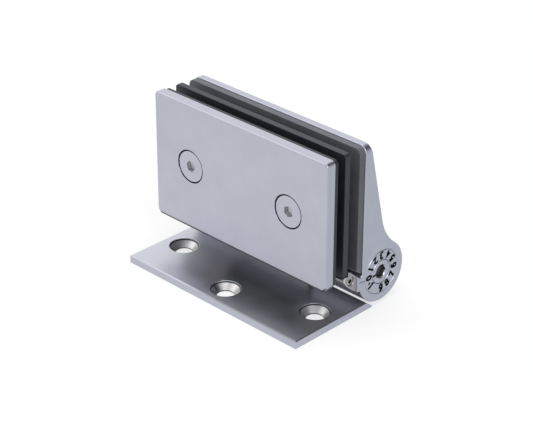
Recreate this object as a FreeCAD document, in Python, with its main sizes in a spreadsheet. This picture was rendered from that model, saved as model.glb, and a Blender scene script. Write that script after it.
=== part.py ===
import FreeCAD, Part
import math
import os
import re
import Sketcher

# Glass gate hinge in millimetres.
# X runs along the hinge line, Y from the front plate to the barrel, and Z away from the wall.
# The origin lies on the wall plate's mounting face, midway between its two outer screw holes.

SIZES = (
    # Length that the wall plate, the front plate and the hinge body share
    ("hinge_length", 110),
    # Wall plate and its screw holes
    ("plate_front", 24.75),
    ("plate_rear", 22),
    ("plate_nose", 26.2),
    ("nose_height", 0.8),
    ("plate_thickness", 4),
    ("wall_hole", 8.4),
    ("wall_sink", 14.4),
    ("sink_lip", 0.45),
    ("hole_spacing", 87),
    ("hole_stagger", 14.35),
    ("edge_break", 0.5),
    # Barrel, knuckle and what turns in them
    ("axis_depth", 32),
    ("axis_height", 16.5),
    ("barrel_radius", 15),
    ("knuckle_width", 46),
    ("side_gap", 1),
    ("turn_gap", 0.6),
    ("knuckle_wall", 5),
    ("pivot_wall", 7),
    ("bush_length", 10),
    ("flange_inset", 1.5),
    ("run_gap", 0.05),
    ("seat_gap", 0.02),
    ("face_gap", 0.1),
    ("end_wall", 4),
    ("cap_depth", 3),
    # Tension dial, arbor and spring
    ("dial_depth", 3),
    ("hub_diameter", 12),
    ("hub_wall", 5),
    ("hub_length", 9),
    ("hub_socket", 6),
    ("hub_socket_depth", 3.9),
    ("arbor_diameter", 9),
    ("arbor_key", 7),
    ("arbor_key_length", 3),
    ("collar_gap", 0.8),
    ("collar_width", 3),
    ("washer_thickness", 0.8),
    ("wire", 2.2),
    ("coil_gap", 1.5),
    ("coil_turns", 5),
    ("coil_length", 15),
    ("dog_width", 3),
    ("anchor_width", 5),
    ("anchor_screw_size", 5),
    ("anchor_screw_sink", 0.4),
    ("anchor_screw_key_depth", 2.4),
    ("anchor_screw_key", 2.5),
    # Clamp leaf: plates, gaskets and packing, from the front to the hinge body
    ("clamp_height", 63.5),
    ("clamp_bottom", 21.3),
    ("front_setback", 6),
    ("front_thickness", 5),
    ("front_corner", 2.2),
    ("front_gasket", 2.4),
    ("front_gasket_inset", 0.5),
    ("front_slot", 5.1),
    ("packer_thickness", 3.3),
    ("packer_inset", 1),
    ("packer_top_inset", 0.3),
    ("packer_corner", 2.5),
    ("rear_slot", 5.7),
    ("rear_gasket", 3.5),
    ("rear_gasket_inset", 0.6),
    ("rear_corner", 4.5),
    ("foot_rise", 1.4),
    ("foot_corner", 0.6),
    # Hinge body
    ("top_thickness", 3.6),
    ("back_lean", 12.6),
    ("neck_radius", 26),
    ("lug_gap", 0.2),
    ("lug_reach", 12),
    ("lug_tip", 2.2),
    ("lug_tip_radius", 1.6),
    ("lug_end_depth", 0.6),
    ("ridge_height", 2.1),
    ("ridge_width", 0.7),
    ("lug_root_ledge", 1),
    ("lug_root_drop", 4.4),
    ("lug_belly_radius", 30),
    ("slit_heel", 2.2),
    ("slit_depth", 3.2),
    ("slit_rise", 1.1),
    ("slit_radius", 1.4),
    ("cast_break", 0.35),
    # Clamp screws and sleeves
    ("screw_spacing", 63.1),
    ("screw_height", 53.15),
    ("screw_size", 8),
    ("screw_head", 16),
    ("screw_rim", 0.4),
    ("screw_reach", 7),
    ("screw_key", 5),
    ("screw_key_depth", 3.4),
    ("screw_turn", 12),
    ("screw_sink", 0.3),
    ("head_gap", 0.3),
    ("sleeve_diameter", 12),
    ("sleeve_gap", 0.1),
    # Lug screw
    ("lug_screw_size", 4),
    ("lug_screw_length", 8),
    ("lug_screw_key", 2),
    ("lug_screw_key_depth", 2),
    ("lug_screw_sink", 0.6),
    ("lug_screw_rise", 1.9),
)

NAMES = {name for name, number in SIZES}

# Places worked out from the sizes
CLAMP_TOP = "(clamp_bottom + clamp_height)"
FRONT_BACK = "(front_thickness - front_setback)"
FRONT_GASKET_BACK = f"({FRONT_BACK} + front_gasket)"
PACKER_FACE = f"({FRONT_GASKET_BACK} + front_slot)"
PACKER_BACK = f"({PACKER_FACE} + packer_thickness)"
REAR_GASKET_FACE = f"({PACKER_BACK} + rear_slot)"
BODY_FACE = f"({REAR_GASKET_FACE} + rear_gasket)"
CLAMP_END = "(hinge_length / 2)"
KNUCKLE_END = "(knuckle_width / 2)"
BARREL_START = f"({KNUCKLE_END} + side_gap)"
FOOT = "(clamp_bottom + foot_rise)"
LUG_SEAT = f"({FOOT} - lug_gap)"
LUG_TOP = f"({LUG_SEAT} + ridge_height)"
LUG_END = f"({CLAMP_END} - lug_end_depth)"
RIDGE_FACE = f"({PACKER_BACK} + face_gap)"
HUB_SEAT = f"({CLAMP_END} - hub_length)"
HUB_BACK = f"({HUB_SEAT} + washer_thickness)"
HUB_FACE = f"({CLAMP_END} - face_gap)"
RING_BACK = f"({CLAMP_END} - dial_depth)"
COIL_START = "(-coil_length / 2)"
COIL_END = "(coil_length / 2 + wire)"
COLLAR_FACE = f"({COIL_END} + face_gap)"
ANCHOR_FACE = f"({COIL_START} - face_gap)"
ANCHOR_BACK = f"({ANCHOR_FACE} - anchor_width)"
ANCHOR_MIDDLE = f"({ANCHOR_FACE} - anchor_width / 2)"
KNUCKLE_BORE = "(2 * (barrel_radius - knuckle_wall))"
END_BORE = "(2 * (barrel_radius - end_wall))"
ANCHOR_SCREW_LENGTH = "(knuckle_wall - anchor_screw_sink)"
BUSH_END = f"({KNUCKLE_END} - bush_length)"
PIVOT_BORE = "(2 * (barrel_radius - pivot_wall))"
PIVOT_RADIUS = f"({PIVOT_BORE} / 2 - seat_gap)"
HUB_FLANGE = "(2 * (barrel_radius - hub_wall))"
COIL_RADIUS = f"({KNUCKLE_BORE} / 2 - coil_gap - wire / 2)"
COLLAR_RADIUS = f"({KNUCKLE_BORE} / 2 - collar_gap)"
LUG_FRONT = f"({BODY_FACE} - lug_reach)"
LUG_SCREW_DEPTH = f"(({LUG_FRONT} + {BODY_FACE} - slit_heel) / 2)"
LUG_SCREW_HEIGHT = f"(({LUG_SEAT} + axis_height - lug_root_drop) / 2 + lug_screw_rise)"
SCREW_FACE = "(screw_sink - front_setback)"

document = FreeCAD.newDocument("GateHinge")
sheet = document.addObject("Spreadsheet::Sheet", "Sizes")


def fill_sheet():
    """Write each driving size to the sheet, with its name as alias."""
    for row, (name, number) in enumerate(SIZES, start=1):
        sheet.set(f"A{row}", name)
        sheet.set(f"B{row}", str(number))
        sheet.setAlias(f"B{row}", name)
    document.recompute()


def link(text):
    """Point each size that an expression names at the sheet."""
    return re.sub(r"[a-z_]+", lambda word: f"Sizes.{word[0]}" if word[0] in NAMES else word[0], text)


def value(text):
    """Work an expression out from the sheet."""
    return float(sheet.evalExpression(link(text)))


def bind(item, path, text):
    """Tie one property or constraint to an expression."""
    item.setExpression(path, link(text))


def new_body(label):
    """Start a sub-part with its own label."""
    body = document.addObject("PartDesign::Body", label)
    body.Label = label
    return body


def new_sketch(body, name, role, offset=None):
    """Start a sketch on one of the body's origin planes, moved along its normal."""
    sketch = body.newObject("Sketcher::SketchObject", f"{body.Name}_{name}")
    support = next(item for item in body.Origin.OriginFeatures if item.Role == role)
    sketch.AttachmentSupport = [(support, "")]
    sketch.MapMode = "FlatFace"
    if offset:
        bind(sketch, "AttachmentOffset.Base.z", offset)
    return sketch


def fix_size(sketch, kind, text, *where):
    """Add a constraint with a size and tie it to an expression."""
    index = sketch.addConstraint(Sketcher.Constraint(kind, *where, value(text)))
    bind(sketch, f"Constraints[{index}]", text)


def fix_point(sketch, geometry, point, across, up):
    """Hold one point of a sketch at its two coordinates."""
    fix_size(sketch, "DistanceX", across, -1, 1, geometry, point)
    fix_size(sketch, "DistanceY", up, -1, 1, geometry, point)


def draw_circle(sketch, across, up, diameter):
    """Draw a circle that keeps its centre and diameter."""
    centre = FreeCAD.Vector(value(across), value(up), 0)
    circle = Part.Circle(centre, FreeCAD.Vector(0, 0, 1), value(diameter) / 2)
    geometry = sketch.addGeometry(circle)
    fix_point(sketch, geometry, 3, across, up)
    fix_size(sketch, "Diameter", diameter, geometry)


def draw_side(sketch, start, end, bend):
    """Draw one side as a line, or as an arc whose radius is positive where it bulges right."""
    first = FreeCAD.Vector(value(start[0]), value(start[1]), 0)
    last = FreeCAD.Vector(value(end[0]), value(end[1]), 0)
    if bend is None:
        return sketch.addGeometry(Part.LineSegment(first, last)), 1, 2
    radius = value(bend)
    chord = last - first
    half = chord.Length / 2
    rise = abs(radius) - math.sqrt(radius * radius - half * half)
    right = FreeCAD.Vector(chord.y, -chord.x, 0).normalize()
    middle = (first + last) / 2 + right * math.copysign(rise, radius)
    geometry = sketch.addGeometry(Part.ArcOfCircle(first, middle, last))
    fix_size(sketch, "Radius", f"abs({bend})", geometry)
    if radius > 0:
        return geometry, 1, 2
    return geometry, 2, 1


def draw_outline(sketch, corners):
    """Draw a closed outline from corners given as across, up and the bend of the next side."""
    sides = []
    for index, corner in enumerate(corners):
        bend = corner[2] if len(corner) > 2 else None
        sides.append(draw_side(sketch, corner, corners[(index + 1) % len(corners)], bend))
    for index, (geometry, start, end) in enumerate(sides):
        before, before_start, before_end = sides[index - 1]
        sketch.addConstraint(Sketcher.Constraint("Coincident", before, before_end, geometry, start))
        fix_point(sketch, geometry, start, corners[index][0], corners[index][1])


def draw_box(sketch, left, right, bottom, top):
    """Draw a rectangle by its four limits."""
    draw_outline(sketch, ((left, bottom), (right, bottom), (right, top), (left, top)))


def draw_hexagon(sketch, across, up, flats, turn="0"):
    """Draw a hexagon of a width across flats, turned by some degrees."""
    corners = []
    for index in range(6):
        angle = f"(({turn}) + {60 * index}) * 1 deg"
        reach = f"({flats}) / sqrt(3)"
        corners.append((f"{across} + {reach} * cos({angle})", f"{up} + {reach} * sin({angle})"))
    draw_outline(sketch, corners)


def draw_axis(sketch, start, end):
    """Draw a construction line to turn a profile about."""
    first = FreeCAD.Vector(value(start[0]), value(start[1]), 0)
    last = FreeCAD.Vector(value(end[0]), value(end[1]), 0)
    geometry = sketch.addGeometry(Part.LineSegment(first, last), True)
    fix_point(sketch, geometry, 1, *start)
    fix_point(sketch, geometry, 2, *end)


def new_feature(body, kind, name, sketch):
    """Add a feature made from a sketch."""
    feature = body.newObject(f"PartDesign::{kind}", f"{body.Name}_{name}")
    feature.Profile = sketch
    return feature


def pad(body, name, sketch, length, symmetric=False, reverse=False):
    """Extrude a sketch."""
    feature = new_feature(body, "Pad", name, sketch)
    feature.SideType = "Symmetric" if symmetric else "One side"
    feature.Reversed = reverse
    bind(feature, "Length", length)
    return feature


def pocket(body, name, sketch, length, symmetric=False, reverse=False, may_miss=False):
    """Cut a sketch's outline into the body, which has to remove material unless it may miss."""
    document.recompute()
    before = body.Shape.Volume
    feature = new_feature(body, "Pocket", name, sketch)
    feature.SideType = "Symmetric" if symmetric else "One side"
    feature.Reversed = reverse
    bind(feature, "Length", length)
    document.recompute()
    if body.Shape.Volume >= before and not may_miss:
        raise ValueError(f"{feature.Name} removes nothing")
    return feature


def turn(body, kind, name, sketch):
    """Turn a sketch about its own construction line."""
    feature = new_feature(body, kind, name, sketch)
    feature.ReferenceAxis = (sketch, ["Axis0"])
    feature.Angle = 360
    return feature


def finish_edges(body, kind, name, size, wanted):
    """Round or chamfer the edges that a test picks."""
    document.recompute()
    base = body.Tip
    edges = [f"Edge{index}" for index, edge in enumerate(base.Shape.Edges, start=1) if wanted(edge)]
    if not edges:
        raise ValueError(f"{body.Name} {name} finds no edge")
    feature = body.newObject(f"PartDesign::{kind}", f"{body.Name}_{name}")
    feature.Base = (base, edges)
    bind(feature, "Radius" if kind == "Fillet" else "Size", size)
    return feature


def mirror(body, name, feature):
    """Repeat a feature on the other side of the hinge's middle."""
    document.recompute()
    copy = body.newObject("PartDesign::Mirrored", f"{body.Name}_{name}")
    copy.Originals = [feature]
    plane = next(item for item in body.Origin.OriginFeatures if item.Role == "YZ_Plane")
    copy.MirrorPlane = (plane, [""])
    body.Tip = copy
    return copy


def is_straight(edge, direction):
    """Say whether an edge is a straight line along a direction."""
    if edge.Curve.TypeId != "Part::GeomLine":
        return False
    return abs(abs(edge.Curve.Direction.dot(direction)) - 1) < 1e-6


def lies_at(edge, axis, place):
    """Say whether a whole edge lies at one coordinate."""
    box = edge.BoundBox
    low = getattr(box, f"{axis}Min")
    high = getattr(box, f"{axis}Max")
    return abs(low - place) < 1e-4 and abs(high - place) < 1e-4


def turned_part(label, corners):
    """Make a sub-part turned about the barrel's axis from corners along X and their radii."""
    body = new_body(label)
    sketch = new_sketch(body, "profile", "XZ_Plane", "-axis_depth")
    draw_outline(sketch, [(across, f"axis_height + {radius}") for across, radius in corners])
    draw_axis(sketch, ("0", "axis_height"), ("barrel_radius", "axis_height"))
    turn(body, "Revolution", "turned", sketch)
    return body


def sleeve_part(label, start, end, outer, inner):
    """Make a plain ring or tube about the barrel's axis from its two diameters."""
    corners = ((start, f"{inner} / 2"), (end, f"{inner} / 2"), (end, f"{outer} / 2"), (start, f"{outer} / 2"))
    return turned_part(label, corners)


def cut_countersinks(body, sketch, hole, sink, lip):
    """Drill countersunk holes with a short straight lip at a sketch's circles."""
    document.recompute()
    feature = new_feature(body, "Hole", "holes", sketch)
    feature.DepthType = "ThroughAll"
    feature.HoleCutType = "Counterdrill"
    feature.HoleCutCustomValues = True
    bind(feature, "Diameter", hole)
    bind(feature, "HoleCutDiameter", sink)
    bind(feature, "HoleCutDepth", lip)
    feature.HoleCutCountersinkAngle = 90
    return feature


def wall_plate():
    """Cast wall plate with its central knuckle and foot."""
    body = new_body("wall_plate")
    section = new_sketch(body, "section", "YZ_Plane")
    draw_outline(section, (
        ("-plate_front", "0"),
        ("plate_nose", "0"),
        ("plate_nose", "nose_height"),
        ("plate_rear", "plate_thickness"),
        ("-plate_front", "plate_thickness"),
    ))
    pad(body, "plate", section, "hinge_length", symmetric=True)
    finish_edges(body, "Chamfer", "edges", "edge_break", is_plate_rim)

    foot = new_sketch(body, "foot", "YZ_Plane")
    draw_outline(foot, (
        ("axis_depth - barrel_radius", "0"),
        ("plate_nose", "0"),
        ("plate_nose", "nose_height"),
        ("axis_depth", "axis_height - barrel_radius"),
        ("axis_depth", "axis_height"),
        ("axis_depth - barrel_radius", "axis_height"),
    ))
    pad(body, "foot_pad", foot, "knuckle_width", symmetric=True)
    knuckle = new_sketch(body, "knuckle", "YZ_Plane")
    draw_circle(knuckle, "axis_depth", "axis_height", "2 * barrel_radius")
    pad(body, "knuckle_pad", knuckle, "knuckle_width", symmetric=True)
    bore = new_sketch(body, "bore", "YZ_Plane")
    draw_circle(bore, "axis_depth", "axis_height", KNUCKLE_BORE)
    pocket(body, "bore_cut", bore, "knuckle_width", symmetric=True)

    grub = new_sketch(body, "grub", "XZ_Plane", "-axis_depth")
    draw_circle(grub, ANCHOR_MIDDLE, "axis_height", "anchor_screw_size")
    pocket(body, "grub_hole", grub, "barrel_radius")

    holes = new_sketch(body, "hole_centres", "XY_Plane", "plate_thickness")
    draw_circle(holes, "hole_spacing / 2", "0", "wall_hole")
    draw_circle(holes, "-hole_spacing / 2", "0", "wall_hole")
    draw_circle(holes, "0", "-hole_stagger", "wall_hole")
    cut_countersinks(body, holes, "wall_hole", "wall_sink", "sink_lip")
    return body


def is_plate_rim(edge):
    """Pick the visible rim of the wall plate's top face."""
    top = lies_at(edge, "Z", value("plate_thickness"))
    rear = lies_at(edge, "Y", value("plate_rear"))
    return top and not rear


def hinge_body():
    """Cast clamp body: back plate, neck, two barrel halves and the front lug."""
    body = new_body("hinge_body")
    pad(body, "casting", draw_body_section(body), "hinge_length", symmetric=True)
    finish_edges(body, "Fillet", "top_corners", "rear_corner", is_body_corner)
    finish_edges(body, "Chamfer", "rims", "cast_break", is_plate_side)
    cut_knuckle_room(body)
    cut_barrel_bores(body)

    threads = new_sketch(body, "threads", "XZ_Plane", f"-{BODY_FACE}")
    draw_circle(threads, "screw_spacing / 2", "screw_height", "screw_size")
    draw_circle(threads, "-screw_spacing / 2", "screw_height", "screw_size")
    pocket(body, "thread_holes", threads, "screw_reach + face_gap")

    cut_lug_ends(body)
    lug = new_sketch(body, "lug_hole", "YZ_Plane", LUG_END)
    draw_circle(lug, LUG_SCREW_DEPTH, LUG_SCREW_HEIGHT, "lug_screw_size + 2 * run_gap")
    pocket(body, "lug_bore", lug, "lug_screw_length + lug_screw_sink")
    finish_edges(body, "Chamfer", "lug_mouth", "cast_break", is_lug_mouth)
    return body


def is_body_corner(edge):
    """Pick the two top corners of the clamp body's back plate."""
    along_depth = is_straight(edge, FreeCAD.Vector(0, 1, 0))
    return along_depth and lies_at(edge, "Z", value(CLAMP_TOP))


def is_plate_side(edge):
    """Pick the back plate's straight side rims, from which the chamfer runs on round both its faces."""
    at_end = lies_at(edge, "X", value(CLAMP_END))
    return at_end and edge.Curve.TypeId == "Part::GeomLine" and edge.Length > value("barrel_radius")


def is_lug_mouth(edge):
    """Pick the mouth of the lug's screw hole."""
    if edge.Curve.TypeId != "Part::GeomCircle" or not lies_at(edge, "X", value(LUG_END)):
        return False
    return abs(edge.Curve.Radius - value("lug_screw_size / 2 + run_gap")) < 1e-6


def draw_body_section(body):
    """Draw the clamp body's section: a leaning back, a neck fillet, the barrel and the lug."""
    section = new_sketch(body, "section", "YZ_Plane")
    top_rear = (f"{BODY_FACE} + top_thickness", CLAMP_TOP)
    slit_floor = f"({LUG_SEAT} - slit_depth)"
    corners = (
        ("axis_depth - barrel_radius - lug_root_ledge", "axis_height - lug_root_drop", "-lug_belly_radius"),
        (LUG_FRONT, f"{LUG_SEAT} - lug_tip", "-lug_tip_radius"),
        (f"{LUG_FRONT} + lug_tip_radius", LUG_SEAT, None),
        (RIDGE_FACE, LUG_SEAT, None),
        (RIDGE_FACE, LUG_TOP, None),
        (f"{RIDGE_FACE} + ridge_width", LUG_TOP, None),
        (f"{BODY_FACE} - slit_heel", slit_floor, "slit_radius"),
        (BODY_FACE, f"{slit_floor} + slit_rise", None),
        (BODY_FACE, CLAMP_TOP, None),
        (*top_rear, None),
    )
    sides = [draw_side(section, *pair) for pair in zip(corners, corners[1:], [item[2] for item in corners])]
    for index, (geometry, start, end) in enumerate(sides):
        fix_point(section, geometry, start, corners[index][0], corners[index][1])
        if index:
            before, before_start, before_end = sides[index - 1]
            section.addConstraint(Sketcher.Constraint("Coincident", before, before_end, geometry, start))
    last, last_start, last_end = sides[-1]
    fix_point(section, last, last_end, *top_rear)
    draw_back_and_barrel(section, sides[0], sides[-1])
    return section


def draw_back_and_barrel(section, first_side, last_side):
    """Close the clamp body's section with its leaning back, neck fillet and barrel arc."""
    radius = value("barrel_radius")
    neck = value("neck_radius")
    lean = math.radians(value("back_lean"))
    axis = FreeCAD.Vector(value("axis_depth"), value("axis_height"), 0)
    top_rear = section.getPoint(last_side[0], last_side[2])
    down = FreeCAD.Vector(math.sin(lean), -math.cos(lean), 0)
    outward = FreeCAD.Vector(math.cos(lean), math.sin(lean), 0)
    depth = neck - (axis - top_rear).dot(outward)
    along = (axis - top_rear).dot(down) - math.sqrt((radius + neck) ** 2 - depth ** 2)
    neck_start = top_rear + down * along
    neck_centre = neck_start + outward * neck
    neck_end = axis + (neck_centre - axis) * (radius / (radius + neck))
    to_middle = (neck_start + neck_end) / 2 - neck_centre
    neck_middle = neck_centre + to_middle.normalize() * neck
    lug_root = section.getPoint(first_side[0], first_side[1])
    inset = math.sqrt(radius ** 2 - (axis.y - lug_root.y) ** 2)
    notch = FreeCAD.Vector(axis.x - inset, lug_root.y, 0)
    barrel_bottom = axis - FreeCAD.Vector(0, radius, 0)

    back = section.addGeometry(Part.LineSegment(top_rear, neck_start))
    fillet = section.addGeometry(Part.ArcOfCircle(neck_start, neck_middle, neck_end))
    barrel = section.addGeometry(Part.ArcOfCircle(notch, barrel_bottom, neck_end))
    root = section.addGeometry(Part.LineSegment(notch, lug_root))
    fillet_start = end_near(section, fillet, neck_start)
    fillet_end = end_near(section, fillet, neck_end)
    for constraint in (
        ("Coincident", last_side[0], last_side[2], back, 1),
        ("Tangent", back, 2, fillet, fillet_start),
        ("Tangent", fillet, fillet_end, barrel, end_near(section, barrel, neck_end)),
        ("Coincident", barrel, end_near(section, barrel, notch), root, 1),
        ("Coincident", root, 2, first_side[0], first_side[1]),
        ("Horizontal", root),
    ):
        section.addConstraint(Sketcher.Constraint(*constraint))
    tilt = section.addConstraint(Sketcher.Constraint("Angle", back, lean - math.pi / 2))
    bind(section, f"Constraints[{tilt}]", "(back_lean - 90) * 1 deg")
    fix_size(section, "Radius", "neck_radius", fillet)
    fix_size(section, "Radius", "barrel_radius", barrel)
    fix_point(section, barrel, 3, "axis_depth", "axis_height")


def end_near(sketch, geometry, place):
    """Say which end of an arc lies at a place."""
    return 1 if (sketch.getPoint(geometry, 1) - place).Length < 1e-6 else 2


def cut_knuckle_room(body):
    """Clear the middle of the clamp body for the wall plate's knuckle and foot."""
    width = f"2 * {BARREL_START}"
    room = new_sketch(body, "room", "YZ_Plane")
    draw_circle(room, "axis_depth", "axis_height", "2 * (barrel_radius + turn_gap)")
    pocket(body, "room_cut", room, width, symmetric=True)
    lug = new_sketch(body, "lug_room", "YZ_Plane")
    draw_box(lug, f"{LUG_FRONT} - side_gap", BODY_FACE, "0", f"{LUG_TOP} + side_gap")
    pocket(body, "lug_cut", lug, width, symmetric=True)


def cut_lug_ends(body):
    """Set both ends of the lug back from the clamp body's end faces."""
    for name, place, reverse in (("right", CLAMP_END, False), ("left", f"-{CLAMP_END}", True)):
        sketch = new_sketch(body, f"lug_end_{name}", "YZ_Plane", place)
        draw_box(sketch, f"{LUG_FRONT} - side_gap", REAR_GASKET_FACE, "0", f"{LUG_TOP} + side_gap")
        pocket(body, f"lug_face_{name}", sketch, "lug_end_depth", reverse=reverse)


def cut_barrel_bores(body):
    """Turn the stepped bore for the end cap, the pivots, the dial hub and the dial ring."""
    sketch = new_sketch(body, "bores", "XZ_Plane", "-axis_depth")
    cap_seat = f"cap_depth - {CLAMP_END}"
    corners = (
        (f"-{CLAMP_END}", "0"),
        (CLAMP_END, "0"),
        (CLAMP_END, f"{END_BORE} / 2"),
        (RING_BACK, f"{END_BORE} / 2"),
        (RING_BACK, f"{HUB_FLANGE} / 2 + run_gap"),
        (HUB_SEAT, f"{HUB_FLANGE} / 2 + run_gap"),
        (HUB_SEAT, f"{PIVOT_BORE} / 2"),
        (cap_seat, f"{PIVOT_BORE} / 2"),
        (cap_seat, f"{END_BORE} / 2"),
        (f"-{CLAMP_END}", f"{END_BORE} / 2"),
    )
    draw_outline(sketch, [(across, f"axis_height + {radius}") for across, radius in corners])
    draw_axis(sketch, ("0", "axis_height"), ("barrel_radius", "axis_height"))
    turn(body, "Groove", "bore_steps", sketch)


def front_plate():
    """Flat front clamp plate with two countersunk holes."""
    body = new_body("front_plate")
    sketch = new_sketch(body, "outline", "XZ_Plane", "front_setback")
    draw_box(sketch, f"-{CLAMP_END}", CLAMP_END, "clamp_bottom", CLAMP_TOP)
    pad(body, "plate", sketch, "front_thickness", reverse=True)
    finish_edges(body, "Fillet", "corners", "front_corner", is_along_depth)
    finish_edges(body, "Chamfer", "edges", "edge_break", is_front_rim)
    holes = new_sketch(body, "hole_centres", "XZ_Plane", "front_setback")
    draw_circle(holes, "screw_spacing / 2", "screw_height", "screw_size")
    draw_circle(holes, "-screw_spacing / 2", "screw_height", "screw_size")
    lip = "screw_rim + screw_sink - head_gap + seat_gap"
    cut_countersinks(body, holes, "screw_size + 2 * head_gap", "screw_head + 2 * head_gap", lip)
    return body


def is_along_depth(edge):
    """Pick the straight edges that run from front to back."""
    return is_straight(edge, FreeCAD.Vector(0, 1, 0))


def is_front_rim(edge):
    """Pick the rim of the front plate's face."""
    return lies_at(edge, "Y", value("-front_setback"))


def sheet_part(label, face, thickness, side_inset, top, corner, bottom=FOOT):
    """Make a gasket or packing plate threaded on the two screw sleeves."""
    body = new_body(label)
    sketch = new_sketch(body, "outline", "XZ_Plane", f"-{face}")
    draw_box(sketch, f"{side_inset} - {CLAMP_END}", f"{CLAMP_END} - {side_inset}", bottom, top)
    pad(body, "sheet", sketch, thickness, reverse=True)
    for name, radius, height in (("corners", corner, top), ("foot", "foot_corner", bottom)):
        finish_edges(
            body, "Fillet", name, radius,
            lambda edge, place=value(height): is_along_depth(edge) and lies_at(edge, "Z", place),
        )
    holes = new_sketch(body, "holes", "XZ_Plane", f"-{face}")
    draw_circle(holes, "screw_spacing / 2", "screw_height", "sleeve_diameter + 2 * sleeve_gap")
    draw_circle(holes, "-screw_spacing / 2", "screw_height", "sleeve_diameter + 2 * sleeve_gap")
    pocket(body, "sleeve_holes", holes, thickness)
    return body


def rear_gasket():
    """Rear gasket, relieved in the middle where the knuckle turns if it comes that near."""
    body = sheet_part(
        "rear_gasket", REAR_GASKET_FACE, "rear_gasket", "rear_gasket_inset",
        f"{CLAMP_TOP} - rear_gasket_inset", "rear_corner",
    )
    relief = new_sketch(body, "relief", "YZ_Plane")
    draw_circle(relief, "axis_depth", "axis_height", "2 * (barrel_radius + turn_gap)")
    pocket(body, "relief_cut", relief, f"2 * {BARREL_START}", symmetric=True, may_miss=True)
    return body


def clamp_screws():
    """Two countersunk screws with hexagon sockets."""
    body = new_body("clamp_screws")
    body.AllowCompound = True
    middle = "screw_spacing / 2"
    shank = "(screw_size / 2 - run_gap)"
    cone_end = f"{SCREW_FACE} + screw_rim + screw_head / 2 - {shank}"
    tip = f"{BODY_FACE} + screw_reach"
    profile = new_sketch(body, "profile", "XY_Plane", "screw_height")
    draw_outline(profile, (
        (middle, SCREW_FACE),
        (f"{middle} + screw_head / 2", SCREW_FACE),
        (f"{middle} + screw_head / 2", f"{SCREW_FACE} + screw_rim"),
        (f"{middle} + {shank}", cone_end),
        (f"{middle} + {shank}", f"{tip} - edge_break"),
        (f"{middle} + {shank} - edge_break", tip),
        (middle, tip),
    ))
    draw_axis(profile, (middle, SCREW_FACE), (middle, tip))
    mirror(body, "pair", turn(body, "Revolution", "screw", profile))
    sockets = new_sketch(body, "sockets", "XZ_Plane", f"-{SCREW_FACE}")
    draw_hexagon(sockets, middle, "screw_height", "screw_key", "screw_turn")
    draw_hexagon(sockets, f"-{middle}", "screw_height", "screw_key", "2 * screw_turn")
    pocket(body, "key_sockets", sockets, "screw_key_depth")
    return body


def screw_sleeves():
    """Two sleeves round the clamp screws that carry the gaskets and the packing plate."""
    body = new_body("screw_sleeves")
    body.AllowCompound = True
    sketch = new_sketch(body, "rings", "XZ_Plane", f"-{FRONT_BACK}")
    for side in ("1", "-1"):
        draw_circle(sketch, f"{side} * screw_spacing / 2", "screw_height", "sleeve_diameter")
        draw_circle(sketch, f"{side} * screw_spacing / 2", "screw_height", "screw_size + 2 * head_gap")
    pad(body, "tubes", sketch, f"{BODY_FACE} - {FRONT_BACK}", reverse=True)
    return body


def pivot_bush(label, side):
    """Flanged bush in one end of the knuckle, side 1 or -1."""
    inner = f"({PIVOT_RADIUS} + run_gap)"
    outer = f"({KNUCKLE_BORE} / 2 - seat_gap)"
    end = f"{side} * {BUSH_END}"
    step = f"{side} * {KNUCKLE_END}"
    flange = f"{side} * ({BARREL_START} - face_gap)"
    return turned_part(label, (
        (end, inner),
        (flange, inner),
        (flange, "barrel_radius - flange_inset"),
        (step, "barrel_radius - flange_inset"),
        (step, outer),
        (end, outer),
    ))


def left_pivot():
    """Solid pivot pin in the left barrel half, with a lead-in at each end."""
    start = f"-{BUSH_END}"
    end = f"cap_depth - {CLAMP_END}"
    return turned_part("left_pivot", (
        (start, "0"),
        (end, "0"),
        (end, f"{PIVOT_RADIUS} - edge_break"),
        (f"{end} + edge_break", PIVOT_RADIUS),
        (f"{start} - edge_break", PIVOT_RADIUS),
        (start, f"{PIVOT_RADIUS} - edge_break"),
    ))


def right_pivot():
    """Hollow pivot in the right barrel half, which the spring arbor passes through."""
    inner = "(arbor_diameter + 2 * run_gap)"
    return sleeve_part("right_pivot", BUSH_END, HUB_SEAT, f"2 * {PIVOT_RADIUS}", inner)


def end_cap():
    """Plain cap in the left end of the barrel."""
    radius = f"({END_BORE} / 2 - seat_gap)"
    face = f"-{CLAMP_END}"
    return turned_part("end_cap", (
        (f"cap_depth + {face}", "0"),
        (face, "0"),
        (face, f"{radius} - edge_break"),
        (f"{face} + edge_break", radius),
        (f"cap_depth + {face}", radius),
    ))


def dial_ring():
    """Fixed ring that carries the dial's numbers and holds the hub in."""
    outer = f"({END_BORE} - 2 * seat_gap)"
    return sleeve_part("dial_ring", RING_BACK, CLAMP_END, outer, "hub_diameter")


def dial_hub():
    """Tension hub with a key socket in front and a socket for the arbor behind."""
    flange = f"{HUB_FLANGE} / 2"
    spigot = "(hub_diameter / 2 - run_gap)"
    body = turned_part("dial_hub", (
        (HUB_BACK, "0"),
        (HUB_FACE, "0"),
        (HUB_FACE, spigot),
        (f"{RING_BACK} - face_gap", spigot),
        (f"{RING_BACK} - face_gap", flange),
        (HUB_BACK, flange),
    ))
    front = new_sketch(body, "front_socket", "YZ_Plane", HUB_FACE)
    draw_hexagon(front, "axis_depth", "axis_height", "hub_socket")
    pocket(body, "front_cut", front, "hub_socket_depth")
    rear = new_sketch(body, "rear_socket", "YZ_Plane", HUB_BACK)
    draw_hexagon(rear, "axis_depth", "axis_height", "arbor_key + 2 * run_gap")
    pocket(body, "rear_cut", rear, "arbor_key_length + face_gap", reverse=True)
    return body


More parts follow.
